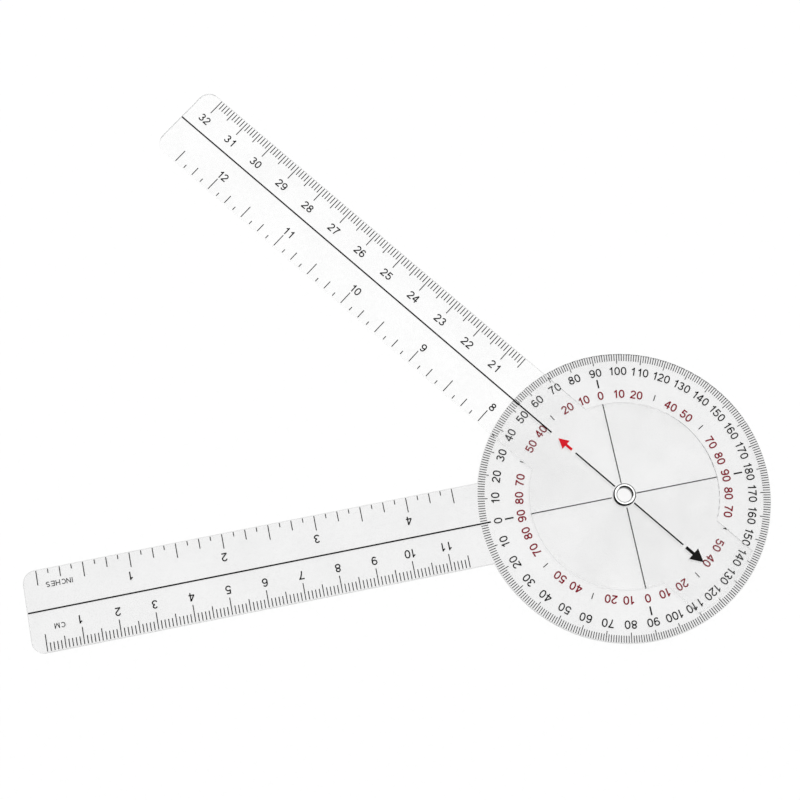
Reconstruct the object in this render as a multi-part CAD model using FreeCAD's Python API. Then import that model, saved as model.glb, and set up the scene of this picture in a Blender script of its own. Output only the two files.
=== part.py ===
import FreeCAD, Part
import math
import os

# Plastic goniometer: a dial with a fixed arm, a moving arm and the eyelet that joins them.
# Lengths are in millimetres. The eyelet's axis is the Z axis, and Z = 0 is the printed face
# of the dial. The fixed arm points along -X, and the moving arm is open by OPENING degrees.

# Both arms
SHEET_THICKNESS = 1.2
EDGE_ROUNDING = 0.25
ARM_WIDTH = 22.6
FIXED_ARM_REACH = 164.0
MOVING_ARM_REACH = 165.7
ARM_CORNER_RADIUS = 3.5
OPENING = 53.0
SHEET_GAP = 0.2

# Round parts, all centred on the pivot
DIAL_RADIUS = 40.0
HUB_RADIUS = 25.9
TAIL_END_RADIUS = 37.4

# Eyelet: a thin tube with both ends rolled outwards, the front one larger
EYELET_BORE_RADIUS = 2.0
EYELET_WALL = 0.3
FRONT_ROLL_RADIUS = 0.55
BACK_ROLL_RADIUS = 0.4
RUNNING_CLEARANCE = 0.06
ROLL_CLEARANCE = 0.1

# Printing: the ink stands on the upper face of its sheet
INK_HEIGHT = 0.05
DEGREE_LINE = 0.22
FINE_LINE = 0.26
QUADRANT_LINE = 0.3
BOLD_LINE = 0.42
EDGE_MARGIN = 0.3

# The two arms laid in one line make one ruler, and its middle is the pivot.
# The tick lengths go by division: every 10th, every 5th and every millimetre, and likewise for eighths.
RULER_HALF_LENGTH = 160.0
MILLIMETRE_TICKS = 115
INCH = 25.4
EIGHTH = INCH / 8
EIGHTH_TICKS = 36
OUTERMOST_MOVING_INCH = 12.5
MILLIMETRE_TICK_LENGTHS = {10: 4.7, 5: 3.3, 1: 2.3}
EIGHTH_TICK_LENGTHS = {4: 4.0, 2: 2.7, 1: 1.2}

# Dial printing, as radii
DEGREE_TICK_OUTER = 39.8
DEGREE_TICK_LENGTH = 1.9
TEN_DEGREE_TICK_LENGTH = 2.7
LINE_START_RADIUS = 3.4
QUADRANT_LINE_END = 25.9
CARDINAL_DASH = (30.7, 33.1)
SUPPLEMENT_DASH = (28.0, 29.7)
FIXED_LINE_END = 37.0

# Pointer printing on the moving arm, as radii
MOVING_LINE_END = 26.0
RED_ARROW = {"tail": 18.7, "head": 20.8, "tip": 23.6, "shaft_width": 0.75, "head_width": 3.0}
BLACK_ARROW = {"tail": 21.6, "head": 24.2, "tip": 27.7, "shaft_width": 0.85, "head_width": 3.8}
RED_SIDE_LINE_END = 17.4
BLACK_SIDE_LINE_END = 20.6

# Heights that follow from the sizes above
MOVING_BASE = SHEET_GAP
MOVING_TOP = MOVING_BASE + SHEET_THICKNESS
EYELET_TOP = MOVING_TOP + ROLL_CLEARANCE
EYELET_BASE = -SHEET_THICKNESS
BARREL_RADIUS = EYELET_BORE_RADIUS + EYELET_WALL
TICK_OUTER = ARM_WIDTH / 2 - EDGE_MARGIN

Z_AXIS = FreeCAD.Vector(0, 0, 1)
ORIGIN = FreeCAD.Vector(0, 0, 0)
TOLERANCE = 1e-6


def vector(x, y, z=0.0):
    return FreeCAD.Vector(x, y, z)


def turned(shape, degrees):
    """A copy of the shape turned about the pivot."""
    copy = shape.copy()
    copy.rotate(ORIGIN, Z_AXIS, degrees)
    return copy


def swung_open(shapes):
    """The moving arm is drawn along -X, then turned clockwise to its opening."""
    return [turned(shape, -OPENING) for shape in shapes]


# ---- the two clear sheets ----

def arm_strip(reach, base):
    """The straight arm along -X, from the pivot to its end with two rounded corners."""
    corner = vector(-reach, -ARM_WIDTH / 2, base)
    strip = Part.makeBox(reach, ARM_WIDTH, SHEET_THICKNESS, corner)
    upright_edges = [edge for edge in strip.Edges if edge.BoundBox.ZLength > TOLERANCE]
    end_corners = [edge for edge in upright_edges if edge.BoundBox.XMax < TOLERANCE - reach]
    return strip.makeFillet(ARM_CORNER_RADIUS, end_corners)


def disc(radius, base):
    return Part.makeCylinder(radius, SHEET_THICKNESS, vector(0, 0, base))


def with_soft_rim(sheet):
    """Round the upper and lower edges of the sheet's outline."""
    rim = [edge for edge in sheet.Edges if edge.BoundBox.ZLength < TOLERANCE]
    return sheet.makeFillet(EDGE_ROUNDING, rim)


def with_pivot_hole(sheet, radius, base):
    return sheet.cut(disc(radius, base))


def dial_and_fixed_arm():
    base = -SHEET_THICKNESS
    outline = arm_strip(FIXED_ARM_REACH, base).fuse(disc(DIAL_RADIUS, base)).removeSplitter()
    return with_pivot_hole(with_soft_rim(outline), BARREL_RADIUS, base)


def moving_arm():
    base = MOVING_BASE
    corner = vector(0, -ARM_WIDTH / 2, base)
    tail = Part.makeBox(TAIL_END_RADIUS, ARM_WIDTH, SHEET_THICKNESS, corner)
    tail = tail.common(disc(TAIL_END_RADIUS, base))
    outline = arm_strip(MOVING_ARM_REACH, base).fuse([disc(HUB_RADIUS, base), tail]).removeSplitter()
    return with_pivot_hole(with_soft_rim(outline), BARREL_RADIUS + RUNNING_CLEARANCE, base)


# ---- the eyelet ----

def roll_arcs(level, radius, direction):
    """Outer and inner arcs of a rolled end, as seen in the X-Z half plane."""
    middle = EYELET_BORE_RADIUS + radius
    inner_radius = radius - EYELET_WALL
    outer = Part.Arc(vector(middle - radius, 0, level),
                     vector(middle, 0, level + direction * radius),
                     vector(middle + radius, 0, level))
    inner = Part.Arc(vector(middle + inner_radius, 0, level),
                     vector(middle, 0, level + direction * inner_radius),
                     vector(middle - inner_radius, 0, level))
    return outer, inner


def eyelet():
    top_outer, top_inner = roll_arcs(EYELET_TOP, FRONT_ROLL_RADIUS, 1)
    base_outer, base_inner = roll_arcs(EYELET_BASE, BACK_ROLL_RADIUS, -1)
    outline = Part.Wire([
        top_outer.toShape(),
        Part.makeLine(top_outer.EndPoint, top_inner.StartPoint),
        top_inner.toShape(),
        Part.makeLine(top_inner.EndPoint, base_inner.EndPoint),
        base_inner.toShape(),
        Part.makeLine(base_inner.StartPoint, base_outer.EndPoint),
        base_outer.toShape(),
        Part.makeLine(base_outer.StartPoint, top_outer.StartPoint),
    ])
    return Part.Face(outline).revolve(ORIGIN, Z_AXIS, 360)


# ---- printed marks ----

def mark(x_low, x_high, y_middle, width, base):
    """One printed bar that runs along X."""
    return Part.makeBox(x_high - x_low, width, INK_HEIGHT, vector(x_low, y_middle - width / 2, base))


def radial_mark(degrees, inner, outer, width, base):
    """One printed bar on a radius. 0 degrees is the fixed arm, and degrees run clockwise."""
    return turned(mark(-outer, -inner, 0, width, base), -degrees)


def tick_length(index, lengths):
    """The length for the coarsest division that the index falls on."""
    return next(length for step, length in lengths.items() if index % step == 0)


def ruler(first, pitch, count, lengths, side, base):
    """Ticks across the arm, from the end towards the pivot, on the +Y (side 1) or -Y edge (side -1)."""
    ticks = []
    for index in range(count + 1):
        length = tick_length(index, lengths)
        x_low = index * pitch - first - FINE_LINE / 2
        y_low = min(side * TICK_OUTER, side * (TICK_OUTER - length))
        ticks.append(Part.makeBox(FINE_LINE, length, INK_HEIGHT, vector(x_low, y_low, base)))
    return ticks


def centimetre_scale(side, base):
    return ruler(RULER_HALF_LENGTH, 1.0, MILLIMETRE_TICKS, MILLIMETRE_TICK_LENGTHS, side, base)


def inch_scale(first, side, base):
    return ruler(first, EIGHTH, EIGHTH_TICKS, EIGHTH_TICK_LENGTHS, side, base)


def degree_ticks():
    """Every degree but 0, where the fixed arm's centre line runs through the ring."""
    ticks = []
    for degrees in range(1, 360):
        length = TEN_DEGREE_TICK_LENGTH if degrees % 10 == 0 else DEGREE_TICK_LENGTH
        inner = DEGREE_TICK_OUTER - length
        ticks.append(radial_mark(degrees, inner, DEGREE_TICK_OUTER, DEGREE_LINE, 0))
    return ticks


def quadrant_lines():
    return [radial_mark(degrees, LINE_START_RADIUS, QUADRANT_LINE_END, QUADRANT_LINE, 0)
            for degrees in range(0, 360, 90)]


def cardinal_dashes():
    return [radial_mark(degrees, *CARDINAL_DASH, BOLD_LINE, 0) for degrees in range(0, 360, 90)]


def supplement_dashes():
    """The inner numerals have a dash in place of 30 and 60."""
    return [radial_mark(degrees, *SUPPLEMENT_DASH, FINE_LINE, 0)
            for degrees in range(0, 360, 30) if degrees % 90 != 0]


def arrow(shape, direction):
    """A printed arrow on the X axis. direction is -1 towards the arm's end, +1 the other way."""
    half_shaft = shape["shaft_width"] / 2
    half_head = shape["head_width"] / 2
    upper = [(shape["tail"], half_shaft), (shape["head"], half_shaft), (shape["head"], half_head)]
    lower = [(radius, -height) for radius, height in reversed(upper)]
    corners = upper + [(shape["tip"], 0)] + lower
    points = [vector(direction * radius, height, MOVING_TOP) for radius, height in corners]
    outline = Part.makePolygon(points + [points[0]])
    return Part.Face(outline).extrude(vector(0, 0, INK_HEIGHT))


def parts_by_node():
    """Every node's shapes, by node name."""
    return {
        "fixed_arm_dial": [dial_and_fixed_arm()],
        "moving_arm": swung_open([moving_arm()]),
        "pivot_eyelet": [eyelet()],
        "dial_degree_ticks": degree_ticks(),
        "dial_quadrant_lines": quadrant_lines(),
        "dial_cardinal_dashes": cardinal_dashes(),
        "dial_supplement_dashes": supplement_dashes(),
        "fixed_arm_centre_line": [
            mark(EDGE_MARGIN - FIXED_ARM_REACH, -FIXED_LINE_END, 0, BOLD_LINE, 0)],
        "fixed_arm_centimetre_ticks": centimetre_scale(-1, 0),
        "fixed_arm_inch_ticks": inch_scale(RULER_HALF_LENGTH, 1, 0),
        "moving_arm_centre_line": swung_open(
            [mark(EDGE_MARGIN - MOVING_ARM_REACH, -MOVING_LINE_END, 0, BOLD_LINE, MOVING_TOP)]),
        "moving_arm_centimetre_ticks": swung_open(centimetre_scale(1, MOVING_TOP)),
        "moving_arm_inch_ticks": swung_open(
            inch_scale(OUTERMOST_MOVING_INCH * INCH - RULER_HALF_LENGTH, -1, MOVING_TOP)),
        "pointer_line_arm_side": swung_open(
            [mark(-RED_SIDE_LINE_END, -LINE_START_RADIUS, 0, BOLD_LINE, MOVING_TOP)]),
        "pointer_line_tail_side": swung_open(
            [mark(LINE_START_RADIUS, BLACK_SIDE_LINE_END, 0, BOLD_LINE, MOVING_TOP)]),
        "red_arrow": swung_open([arrow(RED_ARROW, -1)]),
        "black_arrow": swung_open([arrow(BLACK_ARROW, 1)]),
    }


os.makedirs("parts", exist_ok=True)
for node, shapes in parts_by_node().items():
    whole = shapes[0] if len(shapes) == 1 else Part.makeCompound(shapes)
    whole.exportStep("parts/" + node + ".step")
    print(node, len(whole.Solids), whole.isValid(), round(whole.Volume, 3))
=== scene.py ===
import bmesh
import bpy
import functools
import math
from mathutils import Matrix, Vector
from mathutils.geometry import delaunay_2d_cdt


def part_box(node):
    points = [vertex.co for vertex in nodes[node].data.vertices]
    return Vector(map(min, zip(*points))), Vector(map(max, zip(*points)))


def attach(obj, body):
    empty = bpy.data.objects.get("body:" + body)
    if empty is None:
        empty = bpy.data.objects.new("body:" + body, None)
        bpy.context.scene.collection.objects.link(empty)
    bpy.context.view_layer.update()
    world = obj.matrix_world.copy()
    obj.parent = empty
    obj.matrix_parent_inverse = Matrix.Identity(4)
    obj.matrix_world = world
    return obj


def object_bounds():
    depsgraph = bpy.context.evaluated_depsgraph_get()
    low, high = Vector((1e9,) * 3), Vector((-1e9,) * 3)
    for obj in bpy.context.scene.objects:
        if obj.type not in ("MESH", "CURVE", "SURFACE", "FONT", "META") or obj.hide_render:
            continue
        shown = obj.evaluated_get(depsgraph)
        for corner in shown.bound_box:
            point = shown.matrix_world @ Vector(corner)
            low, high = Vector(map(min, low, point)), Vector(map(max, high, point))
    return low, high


# A clear plastic goniometer. The CAD nodes are the two sheets, the eyelet and the printed lines.
# This script adds the printed numerals, every material, the floor, the light and the camera.

MM = 0.001

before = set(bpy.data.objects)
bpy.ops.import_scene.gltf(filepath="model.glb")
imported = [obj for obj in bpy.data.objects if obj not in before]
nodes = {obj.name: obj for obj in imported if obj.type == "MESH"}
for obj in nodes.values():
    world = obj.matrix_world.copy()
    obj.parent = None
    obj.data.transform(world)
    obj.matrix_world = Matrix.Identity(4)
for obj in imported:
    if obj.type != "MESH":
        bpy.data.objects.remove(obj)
cad_low, cad_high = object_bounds()

# ---- places that follow from the CAD nodes ----

DIAL_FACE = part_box("dial_degree_ticks")[0].z
DIAL_INK_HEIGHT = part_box("dial_degree_ticks")[1].z - DIAL_FACE
MOVING_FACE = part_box("moving_arm_centre_line")[0].z
OPENING = math.radians(53)


def sheet_frame(body):
    """The drawing plane of a body: X and Y in its own sheet, with its arm along -X."""
    if body == "moving_arm":
        return Matrix.Translation((0, 0, MOVING_FACE)) @ Matrix.Rotation(-OPENING, 4, "Z")
    return Matrix.Translation((0, 0, DIAL_FACE))


# ---- numerals: strokes of one width, in units of the cap height ----

STROKE = 0.15
HALF = STROKE / 2
BOLD_HALF = 0.084
LEFT, MIDDLE, RIGHT = 0.13, 0.39, 0.65
ADVANCE = 0.78
ARC_STEP = math.radians(15)


def line(*points):
    return [Vector(point) for point in points]


def oval(centre, radii, start, end, squareness=2.0):
    """Points on an oval from start to end, in degrees anticlockwise from the right."""
    sweep = math.radians(end - start)
    count = max(2, math.ceil(abs(sweep) / ARC_STEP))
    points = []
    for index in range(count + 1):
        angle = math.radians(start) + sweep * index / count
        cosine, sine = math.cos(angle), math.sin(angle)
        size = (abs(cosine) ** squareness + abs(sine) ** squareness) ** (-1 / squareness)
        points.append(Vector((centre[0] + radii[0] * size * cosine, centre[1] + radii[1] * size * sine)))
    return points


def six():
    """The outer sweep from the top down the left side, and the bowl that closes it."""
    sweep = oval((MIDDLE, 0.5), (0.262, 0.5 - HALF), 42, 200, 2.2)
    bowl = oval((MIDDLE, 0.325), (0.262, 0.325 - HALF), 0, 360)
    return [sweep, bowl]


def upside_down(strokes):
    """The strokes turned half a turn about the middle of a digit."""
    return [[Vector((2 * MIDDLE - point.x, 1 - point.y)) for point in stroke] for stroke in strokes]


GLYPHS = {
    "0": [oval((MIDDLE, 0.5), (0.262, 0.5 - HALF), 0, 360, 2.3)],
    "1": [line((0.54, 0), (0.54, 1)), line((0.54, 0.93), (0.43, 0.78), (0.27, 0.72))],
    "2": [oval((MIDDLE, 0.69), (0.255, 0.31 - HALF), 172, -32) + line((LEFT, 0.11), (LEFT, HALF)),
          line((LEFT - HALF, HALF), (RIGHT + HALF / 2, HALF))],
    "3": [oval((0.37, 0.735), (0.225, 0.265 - HALF), 165, -90),
          oval((0.37, 0.285), (0.27, 0.285 - HALF), 90, -165)],
    "4": [line((0.52, 0), (0.52, 1)), line((0.5, 0.97), (0.09, 0.29)), line((0.05, 0.29), (0.72, 0.29))],
    "5": [line((0.63, 1 - HALF), (0.2, 1 - HALF), (0.15, 0.49)),
          oval((0.37, 0.34), (0.275, 0.34 - HALF), 146, -165)],
    "6": six(),
    "7": [line((0.08, 1 - HALF), (RIGHT + HALF, 1 - HALF)),
          line((RIGHT, 1 - HALF), (0.5, 0.7), (0.37, 0.36), (0.31, 0))],
    "8": [oval((MIDDLE, 0.735), (0.22, 0.265 - HALF), 0, 360),
          oval((MIDDLE, 0.29), (0.262, 0.29 - HALF), 0, 360)],
    "9": upside_down(six()),
    "C": [oval((0.47, 0.5), (0.37, 0.5 - HALF), 42, 318)],
    "E": [line((0.78, 1 - HALF), (0.16, 1 - HALF), (0.16, HALF), (0.8, HALF)),
          line((0.16, 0.52), (0.74, 0.52))],
    "H": [line((0.16, 0), (0.16, 1)), line((0.84, 0), (0.84, 1)), line((0.16, 0.52), (0.84, 0.52))],
    "I": [line((0.19, 0), (0.19, 1))],
    "M": [line((0.16, 0), (0.16, 1)), line((0.96, 0), (0.96, 1)),
          line((0.16, 0.95), (0.56, 0.06), (0.96, 0.95))],
    "N": [line((0.16, 0), (0.16, 1)), line((0.16, 0.94), (0.84, 0.06)), line((0.84, 0), (0.84, 1))],
    "S": [oval((0.45, 0.73), (0.27, 0.27 - HALF), 30, 270),
          oval((0.45, 0.27), (0.31, 0.27 - HALF), 90, -150)],
}
LETTER_ADVANCES = {"C": 1.0, "E": 0.92, "H": 1.0, "I": 0.38, "M": 1.12, "N": 1.0, "S": 0.92}


def advance(character):
    return LETTER_ADVANCES.get(character, ADVANCE)


def stroke_quads(points, half_width):
    """The stroke as one quad per segment, with mitred joints."""
    closed = (points[0] - points[-1]).length < 1e-6
    path = points[:-1] if closed else points
    count = len(path)
    sides = []
    for index, point in enumerate(path):
        before = path[index - 1] if closed or index > 0 else point
        after = path[(index + 1) % count] if closed or index < count - 1 else point
        incoming = (point - before).normalized() if point != before else (after - point).normalized()
        outgoing = (after - point).normalized() if after != point else incoming
        along = (incoming + outgoing).normalized()
        across = Vector((-along.y, along.x)) * (half_width / max(along.dot(incoming), 0.5))
        sides.append((point + across, point - across))
    pairs = zip(sides, sides[1:] + sides[:1]) if closed else zip(sides, sides[1:])
    return [(first[0], first[1], second[1], second[0]) for first, second in pairs]


@functools.cache
def glyph_outline(character, half_width):
    """The glyph as one flat shape: the union of its strokes, as points and faces."""
    points, faces = [], []
    for stroke in GLYPHS[character]:
        for quad in stroke_quads(stroke, half_width):
            faces.append(list(range(len(points), len(points) + 4)))
            points.extend(quad)
    union = delaunay_2d_cdt(points, [], faces, 1, 1e-5)
    covered = [face for face, sources in zip(union[2], union[5]) if sources]
    return union[0], covered


def add_glyph(mesh, outline, placement, height):
    """One raised glyph. placement takes cap-height units to metres in the row frame."""
    points, faces = outline
    used = sorted({index for face in faces for index in face})
    lower = {index: mesh.verts.new(placement @ points[index].to_3d()) for index in used}
    flat = [mesh.faces.new([lower[index] for index in face]) for face in faces]
    raised = bmesh.ops.extrude_face_region(mesh, geom=flat)
    top = [item for item in raised["geom"] if isinstance(item, bmesh.types.BMVert)]
    bmesh.ops.translate(mesh, verts=top, vec=(0, 0, height))


def numerals(name, body, labels, material, half_width=HALF):
    """One piece with all its labels. Each label is (text, x, y, turn, cap height), in mm and radians."""
    mesh = bmesh.new()
    for text, x, y, turn, cap in labels:
        width = sum(advance(character) for character in text)
        spot = Matrix.Translation((x * MM, y * MM, 0)) @ Matrix.Rotation(turn, 4, "Z")
        pen = -width / 2
        for character in text:
            shift = Matrix.Translation((pen, -0.5, 0))
            placement = sheet_frame(body) @ spot @ Matrix.Scale(cap * MM, 4) @ shift
            add_glyph(mesh, glyph_outline(character, half_width), placement, DIAL_INK_HEIGHT)
            pen += advance(character)
    bmesh.ops.recalc_face_normals(mesh, faces=mesh.faces)
    data = bpy.data.meshes.new(name)
    mesh.to_mesh(data)
    mesh.free()
    piece = bpy.data.objects.new(name, data)
    bpy.context.scene.collection.objects.link(piece)
    data.materials.append(material)
    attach(piece, body)
    return piece


# ---- where the numerals stand ----

CAP = 2.3
UNIT_CAP = 1.45
OUTER_NUMERAL_RADIUS = 35.0
INNER_NUMERAL_RADIUS = 28.5
RULER_HALF_LENGTH = 160.0
INCH = 25.4
FIXED_CENTIMETRE_ROW = 4.2
FIXED_INCH_ROW = 4.7
MOVING_CENTIMETRE_ROW = 3.8
MOVING_INCH_ROW = 5.4


def ring_label(value, degrees, radius):
    """A label whose top faces outwards. 0 degrees is the fixed arm, and degrees run clockwise."""
    angle = math.radians(degrees)
    return (str(value), -radius * math.cos(angle), radius * math.sin(angle), math.pi / 2 - angle, CAP)


def outer_labels():
    return [ring_label(min(degrees, 360 - degrees), degrees, OUTER_NUMERAL_RADIUS)
            for degrees in range(0, 360, 10)]


def inner_labels():
    """Counts down from 90 at each arm line to 0 across it. Dashes stand for 30 and 60."""
    values = {degrees: abs(90 - degrees % 180) for degrees in range(0, 360, 10)}
    return [ring_label(value, degrees, INNER_NUMERAL_RADIUS)
            for degrees, value in values.items() if value not in (30, 60)]


def fixed_centimetre_labels():
    return [(str(number), number * 10 - RULER_HALF_LENGTH, -FIXED_CENTIMETRE_ROW, math.pi, CAP)
            for number in range(1, 12)]


def fixed_inch_labels():
    """These stand a little nearer the arm's end than their ticks."""
    nearer = 0.3
    return [(str(number), number * INCH - RULER_HALF_LENGTH - nearer, FIXED_INCH_ROW, math.pi, CAP)
            for number in range(1, 5)]


def moving_centimetre_labels():
    return [(str(number), RULER_HALF_LENGTH - number * 10, MOVING_CENTIMETRE_ROW, 0, CAP)
            for number in range(21, 33)]


def moving_inch_labels():
    """These stand a little nearer the pivot than their ticks."""
    nearer = 0.5
    return [(str(number), RULER_HALF_LENGTH - number * INCH + nearer, -MOVING_INCH_ROW, 0, CAP)
            for number in range(8, 13)]


def unit_labels():
    return [("INCHES", -154.2, 6.75, math.pi, UNIT_CAP), ("CM", -155.8, -4.7, math.pi, UNIT_CAP)]


# ---- materials ----

EDGE_ROUGHNESS = 0.45
HAZE = 0.02
FIXED_SHEET_INDEX = 1.49
MOVING_SHEET_INDEX = 1.25

# Where shade is painted near-black on the eyelet: outside the rim radius, and in the bore above the
# level
PAINTED_SHADE_RIM_RADIUS = 2.78 * MM
PAINTED_SHADE_BORE_RADIUS = 2.1 * MM
PAINTED_SHADE_BORE_LEVEL = 0.3 * MM
PAINTED_SHADE_FADE = 0.06 * MM


def grey(level):
    return (level, level, level)


def new_material(name):
    material = bpy.data.materials.new(name)
    material.use_nodes = True
    tree = material.node_tree
    return material, tree, tree.nodes["Principled BSDF"]


def noise(tree, scale, detail=3.0, roughness=0.5, stretch=(1, 1, 1)):
    """Object-space noise, in features per metre. It rides with its piece."""
    place = tree.nodes.new("ShaderNodeTexCoord")
    mapping = tree.nodes.new("ShaderNodeMapping")
    mapping.inputs["Scale"].default_value = stretch
    texture = tree.nodes.new("ShaderNodeTexNoise")
    texture.inputs["Scale"].default_value = scale
    texture.inputs["Detail"].default_value = detail
    texture.inputs["Roughness"].default_value = roughness
    tree.links.new(place.outputs["Object"], mapping.inputs["Vector"])
    tree.links.new(mapping.outputs["Vector"], texture.inputs["Vector"])
    return texture.outputs["Fac"]


def spread(tree, value, low, high, out_low, out_high):
    """Maps low..high to out_low..out_high, and clamps."""
    node = tree.nodes.new("ShaderNodeMapRange")
    node.inputs["From Min"].default_value = low
    node.inputs["From Max"].default_value = high
    node.inputs["To Min"].default_value = out_low
    node.inputs["To Max"].default_value = out_high
    tree.links.new(value, node.inputs["Value"])
    return node.outputs["Result"]


def maths(tree, operation, first, second):
    node = tree.nodes.new("ShaderNodeMath")
    node.operation = operation
    tree.links.new(first, node.inputs[0])
    tree.links.new(second, node.inputs[1])
    return node.outputs["Value"]


def blend_colours(tree, share, first, second):
    node = tree.nodes.new("ShaderNodeMix")
    node.data_type = "RGBA"
    node.inputs["A"].default_value = (*first, 1)
    node.inputs["B"].default_value = (*second, 1)
    tree.links.new(share, node.inputs["Factor"])
    return node.outputs["Result"]


def lay_over(tree, share, under, colour):
    """Mixes one plain colour over a colour that comes from a node."""
    node = tree.nodes.new("ShaderNodeMix")
    node.data_type = "RGBA"
    node.inputs["B"].default_value = (*colour, 1)
    tree.links.new(share, node.inputs["Factor"])
    tree.links.new(under, node.inputs["A"])
    return node.outputs["Result"]


def bump(tree, height, distance, strength):
    node = tree.nodes.new("ShaderNodeBump")
    node.inputs["Distance"].default_value = distance
    node.inputs["Strength"].default_value = strength
    tree.links.new(height, node.inputs["Height"])
    return node.outputs["Normal"]


def clear_sheet(name, face_tint, painted_edge_shade, refraction):
    """Clear plastic: faint tint, slightly scuffed faces, and rough cut edges whose colour is darkened by
    painted shade.
    """
    material, tree, shader = new_material(name)
    shader.inputs["Transmission Weight"].default_value = 1.0
    shader.inputs["IOR"].default_value = refraction
    geometry = tree.nodes.new("ShaderNodeNewGeometry")
    parts = tree.nodes.new("ShaderNodeSeparateXYZ")
    tree.links.new(geometry.outputs["Normal"], parts.inputs["Vector"])
    upright = tree.nodes.new("ShaderNodeMath")
    upright.operation = "ABSOLUTE"
    tree.links.new(parts.outputs["Z"], upright.inputs[0])
    # rim marks the cut edges: it makes them rough, and lays painted shade over their colour.
    rim = spread(tree, upright.outputs["Value"], 0.5, 0.98, 1.0, 0.0)
    haze = spread(tree, noise(tree, 45.0, roughness=0.55), 0.35, 0.65, 0.0, 1.0)
    hazy, clean = [[part * (1 + change) for part in face_tint] for change in (-HAZE, HAZE)]
    face = blend_colours(tree, haze, clean, hazy)
    tree.links.new(lay_over(tree, rim, face, painted_edge_shade), shader.inputs["Base Color"])
    scuffs = noise(tree, 900.0, detail=4.0, roughness=0.6, stretch=(1, 6, 1))
    face_roughness = spread(tree, scuffs, 0.45, 0.75, 0.0, 0.06)
    roughness = tree.nodes.new("ShaderNodeMath")
    roughness.operation = "MULTIPLY_ADD"
    roughness.inputs[1].default_value = EDGE_ROUGHNESS
    tree.links.new(rim, roughness.inputs[0])
    tree.links.new(face_roughness, roughness.inputs[2])
    tree.links.new(roughness.outputs["Value"], shader.inputs["Roughness"])
    let_light_through(tree, shader, face_tint)
    return material


def let_light_through(tree, shader, tint):
    """Light that falls on the sheet goes straight through, so what lies under it stays bright."""
    ray = tree.nodes.new("ShaderNodeLightPath")
    either = maths(tree, "MAXIMUM", ray.outputs["Is Shadow Ray"], ray.outputs["Is Diffuse Ray"])
    clear = tree.nodes.new("ShaderNodeBsdfTransparent")
    clear.inputs["Color"].default_value = (*tint, 1)
    mix = tree.nodes.new("ShaderNodeMixShader")
    tree.links.new(either, mix.inputs["Fac"])
    tree.links.new(shader.outputs["BSDF"], mix.inputs[1])
    tree.links.new(clear.outputs["BSDF"], mix.inputs[2])
    tree.links.new(mix.outputs["Shader"], tree.nodes["Material Output"].inputs["Surface"])


def ink(name, colour, worn_colour):
    """Screen-printed ink: matt, with slightly uneven density."""
    material, tree, shader = new_material(name)
    density = noise(tree, 2600.0, detail=2.0)
    share = spread(tree, density, 0.35, 0.7, 0.0, 1.0)
    tree.links.new(blend_colours(tree, share, colour, worn_colour), shader.inputs["Base Color"])
    tree.links.new(spread(tree, density, 0.3, 0.7, 0.42, 0.6), shader.inputs["Roughness"])
    shader.inputs["Specular IOR Level"].default_value = 0.08
    return material


def eyelet_metal():
    """Nickel-plated brass: bright and faintly worn, with near-black shade painted on its rim and in its
    bore.
    """
    material, tree, shader = new_material("eyelet_nickel")
    shader.inputs["Metallic"].default_value = 1.0
    wear = noise(tree, 1800.0, detail=5.0, roughness=0.6)
    place = tree.nodes.new("ShaderNodeTexCoord")
    parts = tree.nodes.new("ShaderNodeSeparateXYZ")
    tree.links.new(place.outputs["Object"], parts.inputs["Vector"])
    flat = tree.nodes.new("ShaderNodeVectorMath")
    flat.operation = "MULTIPLY"
    flat.inputs[1].default_value = (1, 1, 0)
    tree.links.new(place.outputs["Object"], flat.inputs[0])
    across = tree.nodes.new("ShaderNodeVectorMath")
    across.operation = "LENGTH"
    tree.links.new(flat.outputs["Vector"], across.inputs[0])
    radius = across.outputs["Value"]
    # Painted shade: near-black laid over the plating outside the rim radius and on the upper half of the
    # bore wall.
    rim = spread(tree, radius, PAINTED_SHADE_RIM_RADIUS, PAINTED_SHADE_RIM_RADIUS + PAINTED_SHADE_FADE, 0.0, 1.0)
    wall = spread(tree, radius, PAINTED_SHADE_BORE_RADIUS, PAINTED_SHADE_BORE_RADIUS + PAINTED_SHADE_FADE, 1.0, 0.0)
    upper_half = spread(tree, parts.outputs["Z"], 0.0, PAINTED_SHADE_BORE_LEVEL, 0.0, 1.0)
    painted_shade = maths(tree, "MAXIMUM", rim, maths(tree, "MULTIPLY", wall, upper_half))
    worn = spread(tree, wear, 0.35, 0.7, 0.0, 1.0)
    plating = blend_colours(tree, worn, grey(0.88), grey(0.78))
    colour = lay_over(tree, painted_shade, plating, grey(0.008))
    tree.links.new(colour, shader.inputs["Base Color"])
    tree.links.new(spread(tree, wear, 0.3, 0.7, 0.03, 0.1), shader.inputs["Roughness"])
    tree.links.new(bump(tree, wear, 0.00001, 0.1), shader.inputs["Normal"])
    return material


def dress(node, material):
    """Puts one material on a CAD node."""
    data = nodes[node].data
    data.materials.clear()
    data.materials.append(material)


black = ink("black_ink", grey(0.002), grey(0.008))
dark_red = ink("dark_red_ink", (0.19, 0.003, 0.012), (0.22, 0.006, 0.018))
bright_red = ink("red_ink", (0.55, 0.004, 0.012), (0.6, 0.01, 0.02))
own_materials = {
    # The second grey of each clear sheet is the painted shade on its cut edges.
    "fixed_arm_dial": clear_sheet("clear_sheet_fixed", grey(0.835), grey(0.72), FIXED_SHEET_INDEX),
    "moving_arm": clear_sheet("clear_sheet_moving", grey(0.955), grey(0.94), MOVING_SHEET_INDEX),
    "pivot_eyelet": eyelet_metal(),
    "red_arrow": bright_red,
}
for node in nodes:
    dress(node, own_materials.get(node, black))

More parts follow.
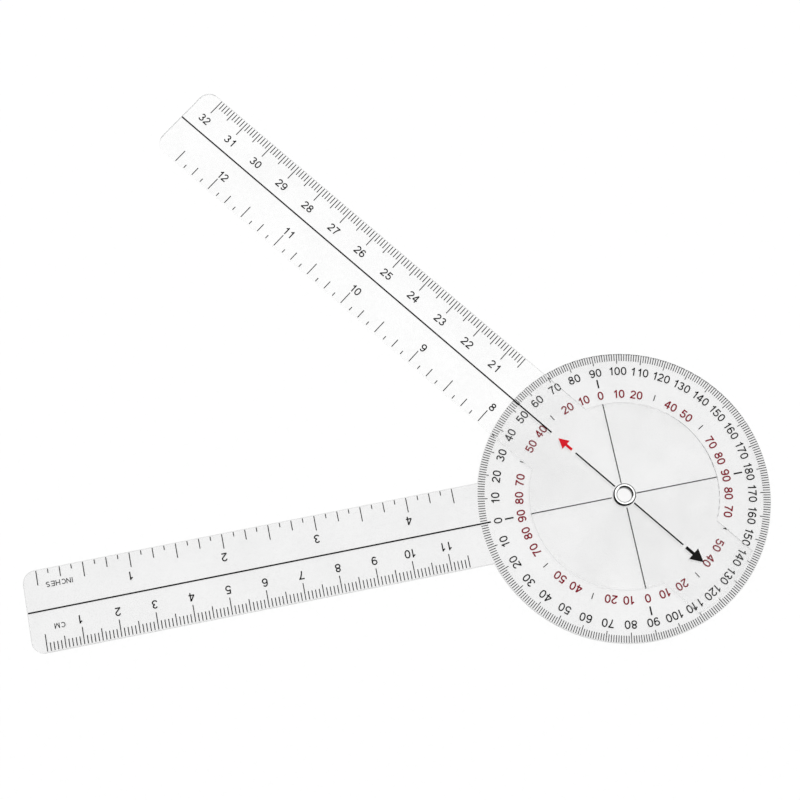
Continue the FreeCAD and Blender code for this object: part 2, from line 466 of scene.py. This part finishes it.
numerals("dial_outer_numerals", "fixed_arm", outer_labels(), black)
numerals("dial_inner_numerals", "fixed_arm", inner_labels(), dark_red, BOLD_HALF)
numerals("fixed_arm_centimetre_numerals", "fixed_arm", fixed_centimetre_labels(), black)
numerals("fixed_arm_inch_numerals", "fixed_arm", fixed_inch_labels(), black)
numerals("fixed_arm_unit_labels", "fixed_arm", unit_labels(), black)
numerals("moving_arm_centimetre_numerals", "moving_arm", moving_centimetre_labels(), black)
numerals("moving_arm_inch_numerals", "moving_arm", moving_inch_labels(), black)

# ---- floor, light and camera ----

FLOOR_HALF_WIDTH = 3.0
FLOOR_GLOW = 0.88
DARK_WALL = 0.02
DARK_WALL_DIRECTION = (-1, -1, 0)
LAMP_WIDTH = 1.2
LAMP_POWER = 4.0
LAMP_PLACE = (-0.02, 0.45, 1.5)
LENS = 75.4
SENSOR_WIDTH = 36.0
CAMERA_ROLL = math.radians(-0.61)
CAMERA_EYE = Vector((-74.6, -68.3, 449.4)) * MM
CAMERA_AIM = Vector((-54.5, 38.2, 0.0)) * MM


def floor():
    """A white light table: it glows evenly, so a clear sheet on it casts no shadow."""
    material, tree, shader = new_material("pale_floor")
    grain = spread(tree, noise(tree, 700.0), 0.35, 0.65, 0.0, 1.0)
    pale = blend_colours(tree, grain, grey(0.1), grey(0.13))
    tree.links.new(pale, shader.inputs["Base Color"])
    shader.inputs["Roughness"].default_value = 0.8
    shader.inputs["Specular IOR Level"].default_value = 0.1
    shader.inputs["Emission Color"].default_value = (1, 1, 1, 1)
    shader.inputs["Emission Strength"].default_value = FLOOR_GLOW
    mesh = bmesh.new()
    bmesh.ops.create_grid(mesh, x_segments=1, y_segments=1, size=FLOOR_HALF_WIDTH)
    data = bpy.data.meshes.new("floor")
    mesh.to_mesh(data)
    mesh.free()
    data.materials.append(material)
    plane = bpy.data.objects.new("floor", data)
    plane.location.z = cad_low.z
    bpy.context.scene.collection.objects.link(plane)


def sky():
    """An even white studio. Reflections also find its dark wall, on the (-X, -Y) side."""
    world = bpy.data.worlds.new("studio")
    world.use_nodes = True
    tree = world.node_tree
    background = tree.nodes["Background"]
    background.inputs["Strength"].default_value = 1.0
    place = tree.nodes.new("ShaderNodeTexCoord")
    side = tree.nodes.new("ShaderNodeVectorMath")
    side.operation = "DOT_PRODUCT"
    side.inputs[1].default_value = Vector(DARK_WALL_DIRECTION).normalized()
    tree.links.new(place.outputs["Generated"], side.inputs[0])
    parts = tree.nodes.new("ShaderNodeSeparateXYZ")
    tree.links.new(place.outputs["Generated"], parts.inputs["Vector"])
    towards_wall = spread(tree, side.outputs["Value"], -0.05, 0.1, 0.0, 1.0)
    below_the_lamp = spread(tree, parts.outputs["Z"], 0.9, 0.95, 1.0, 0.0)
    ray = tree.nodes.new("ShaderNodeLightPath")
    wall = maths(tree, "MULTIPLY", towards_wall, below_the_lamp)
    dark = maths(tree, "MULTIPLY", wall, ray.outputs["Is Glossy Ray"])
    tree.links.new(blend_colours(tree, dark, grey(1.0), grey(DARK_WALL)), background.inputs["Color"])
    bpy.context.scene.world = world


def lamp():
    """One large soft lamp overhead."""
    data = bpy.data.lights.new("softbox", "AREA")
    data.shape = "SQUARE"
    data.size = LAMP_WIDTH
    data.energy = LAMP_POWER
    holder = bpy.data.objects.new("softbox", data)
    holder.location = LAMP_PLACE
    bpy.context.scene.collection.objects.link(holder)


def camera():
    """Almost straight above the arms, standing back a little on the -Y side."""
    data = bpy.data.cameras.new("camera")
    data.lens = LENS
    data.sensor_width = SENSOR_WIDTH
    data.clip_start = 0.01
    holder = bpy.data.objects.new("camera", data)
    look = (CAMERA_AIM - CAMERA_EYE).to_track_quat("-Z", "Y").to_matrix().to_4x4()
    turn = Matrix.Rotation(CAMERA_ROLL, 4, "Z")
    holder.matrix_world = Matrix.Translation(CAMERA_EYE) @ look @ turn
    bpy.context.scene.collection.objects.link(holder)
    bpy.context.scene.camera = holder


floor()
sky()
lamp()
camera()
bpy.context.scene.view_settings.view_transform = "Standard"
